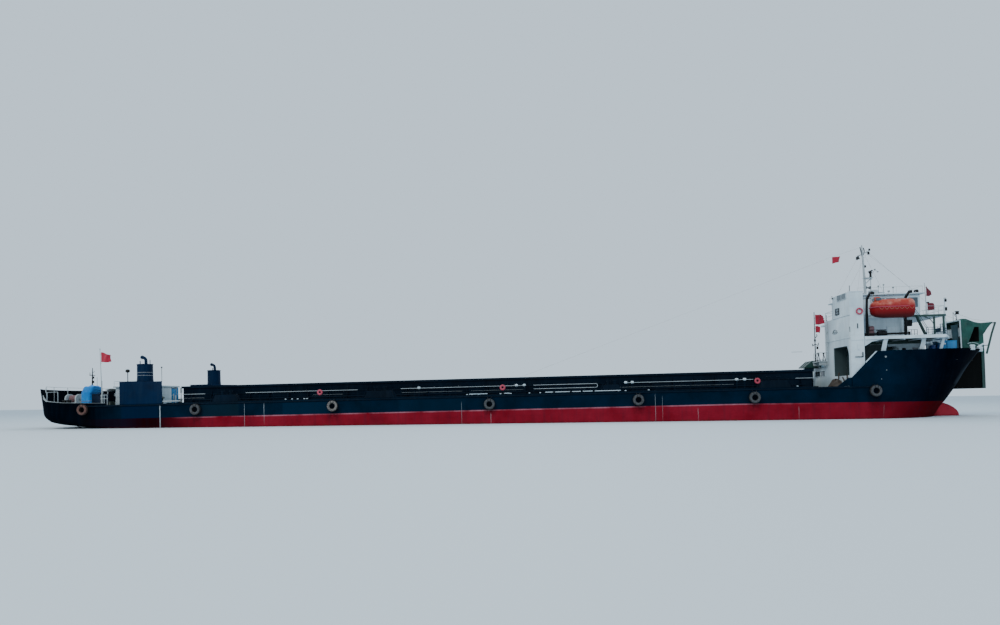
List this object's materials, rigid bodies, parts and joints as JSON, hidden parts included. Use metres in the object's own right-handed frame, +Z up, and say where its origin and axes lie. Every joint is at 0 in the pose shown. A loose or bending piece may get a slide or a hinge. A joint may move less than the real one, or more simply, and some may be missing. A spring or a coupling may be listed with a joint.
{
  "type": "scale model of a river barge",
  "caption": "Self-unloading river barge with an open hopper hold, bow bridge, covered discharge frame over the stem, engine casings and funnels at the stern.",
  "frame": {"origin": "middle of the bounding box, on the flat bottom of the hull", "axes": "+X to the bow, +Y to port, +Z up"},
  "size_m": [10.5311, 1.932, 2.0803],
  "materials": {
    "hull_paint": "dark navy alkyd paint on welded steel",
    "white_paint": "white alkyd paint on welded steel",
    "rail_paint": "pale grey paint on steel tube",
    "deck_gear_paint": "worn grey paint on steel",
    "black_paint": "black paint on steel",
    "green_paint": "dark green paint on steel sheet",
    "blue_paint": "bright blue paint on steel sheet",
    "cast_iron": "grey cast iron",
    "propeller_bronze": "polished bronze",
    "fender_rubber": "weathered tyre rubber",
    "belt_rubber": "conveyor belt rubber",
    "skirt_rubber": "black rubber sheet",
    "lifeboat_shell": "orange red glass fibre",
    "barrel_plastic": "dark blue plastic",
    "blue_cover": "blue coated tarpaulin",
    "green_tarpaulin": "green woven tarpaulin",
    "flag_cloth": "plain red flag cloth"
  },
  "bodies": {
    "barge": {"hull": "hull_paint", "bow_bulwark": "hull_paint", "stern_bulwark": "hull_paint", "hold_coaming": "hull_paint", "hold_belt": "belt_rubber", "side_rail_starboard": "rail_paint", "side_rail_port": "rail_paint", "tyre_fenders_starboard": "fender_rubber", "tyre_fenders_port": "fender_rubber", "engine_casing_starboard": "hull_paint", "engine_casing_port": "hull_paint", "engine_starboard": "cast_iron", "engine_port": "cast_iron", "funnel_starboard": "hull_paint", "funnel_port": "hull_paint", "aft_deckhouse": "white_paint", "stern_winch": "deck_gear_paint", "winch_cover": "blue_cover", "stern_locker": "blue_paint", "stern_mast": "black_paint", "stern_canopy": "deck_gear_paint", "stern_flagstaff": "rail_paint", "stair_tower": "white_paint", "forecastle_house": "white_paint", "boat_deck_starboard": "white_paint", "boat_deck_port": "white_paint", "boat_deck_house": "white_paint", "wheelhouse": "white_paint", "wheelhouse_roof": "white_paint", "mast": "rail_paint", "davit_feet": "black_paint", "conveyor_gallery": "white_paint", "gallery_hood": "green_paint", "discharge_frame": "white_paint", "tarpaulin_hood": "green_tarpaulin", "discharge_skirt": "skirt_rubber", "windlass": "deck_gear_paint", "blue_tank": "blue_paint", "barrels": "barrel_plastic", "head_chute": "black_paint", "bow_light_mast": "rail_paint", "tower_platform": "rail_paint", "bridge_flagstaff": "rail_paint", "bridge_flag_upper": "flag_cloth", "bridge_flag_lower": "flag_cloth", "stern_flag": "flag_cloth", "tower_flag_upper": "flag_cloth", "tower_flag_lower": "flag_cloth"},
    "propeller_starboard_body": {"propeller_starboard": "propeller_bronze"},
    "propeller_port_body": {"propeller_port": "propeller_bronze"},
    "rudder_starboard_body": {"rudder_starboard": "hull_paint"},
    "rudder_port_body": {"rudder_port": "hull_paint"},
    "aft_deckhouse_door_body": {"aft_deckhouse_door": "blue_paint"},
    "passage_door_body": {"passage_door": "white_paint"},
    "wheelhouse_door_body": {"wheelhouse_door": "white_paint"},
    "davits_body": {"lifeboat_davits": "black_paint", "lifeboat": "lifeboat_shell"},
    "radar_body": {"radar_scanner": "black_paint"}
  },
  "joints": [
    {"name": "propeller_starboard_spin", "type": "hinge", "parent": "barge", "child": "propeller_starboard_body", "pos_m": [-4.68227, -0.42, 0.135], "axis": [1, 0, 0], "continuous": true},
    {"name": "propeller_port_spin", "type": "hinge", "parent": "barge", "child": "propeller_port_body", "pos_m": [-4.68227, 0.42, 0.135], "axis": [1, 0, 0], "continuous": true},
    {"name": "rudder_starboard_steer", "type": "hinge", "parent": "barge", "child": "rudder_starboard_body", "pos_m": [-4.84227, -0.42, 0.2], "axis": [0, 0, 1], "range_deg": [-35, 35]},
    {"name": "rudder_port_steer", "type": "hinge", "parent": "barge", "child": "rudder_port_body", "pos_m": [-4.84227, 0.42, 0.2], "axis": [0, 0, 1], "range_deg": [-35, 35]},
    {"name": "aft_deckhouse_door_hinge", "type": "hinge", "parent": "barge", "child": "aft_deckhouse_door_body", "pos_m": [-3.91427, -0.022, 0.61], "axis": [0, 0, 1], "range_deg": [0, 100]},
    {"name": "passage_door_hinge", "type": "hinge", "parent": "barge", "child": "passage_door_body", "pos_m": [4.03973, -0.629, 0.8], "axis": [0, 0, -1], "range_deg": [0, 178]},
    {"name": "wheelhouse_door_hinge", "type": "hinge", "parent": "barge", "child": "wheelhouse_door_body", "pos_m": [3.76273, -0.518, 1.33], "axis": [0, 0, -1], "range_deg": [0, 100]},
    {"name": "davits_swing", "type": "hinge", "parent": "barge", "child": "davits_body", "pos_m": [3.92273, -0.63, 1.04], "axis": [1, 0, 0], "range_deg": [0, 45]},
    {"name": "radar_spin", "type": "hinge", "parent": "barge", "child": "radar_body", "pos_m": [4.06873, 0, 1.75], "axis": [0, 0, 1], "continuous": true}
  ]
}
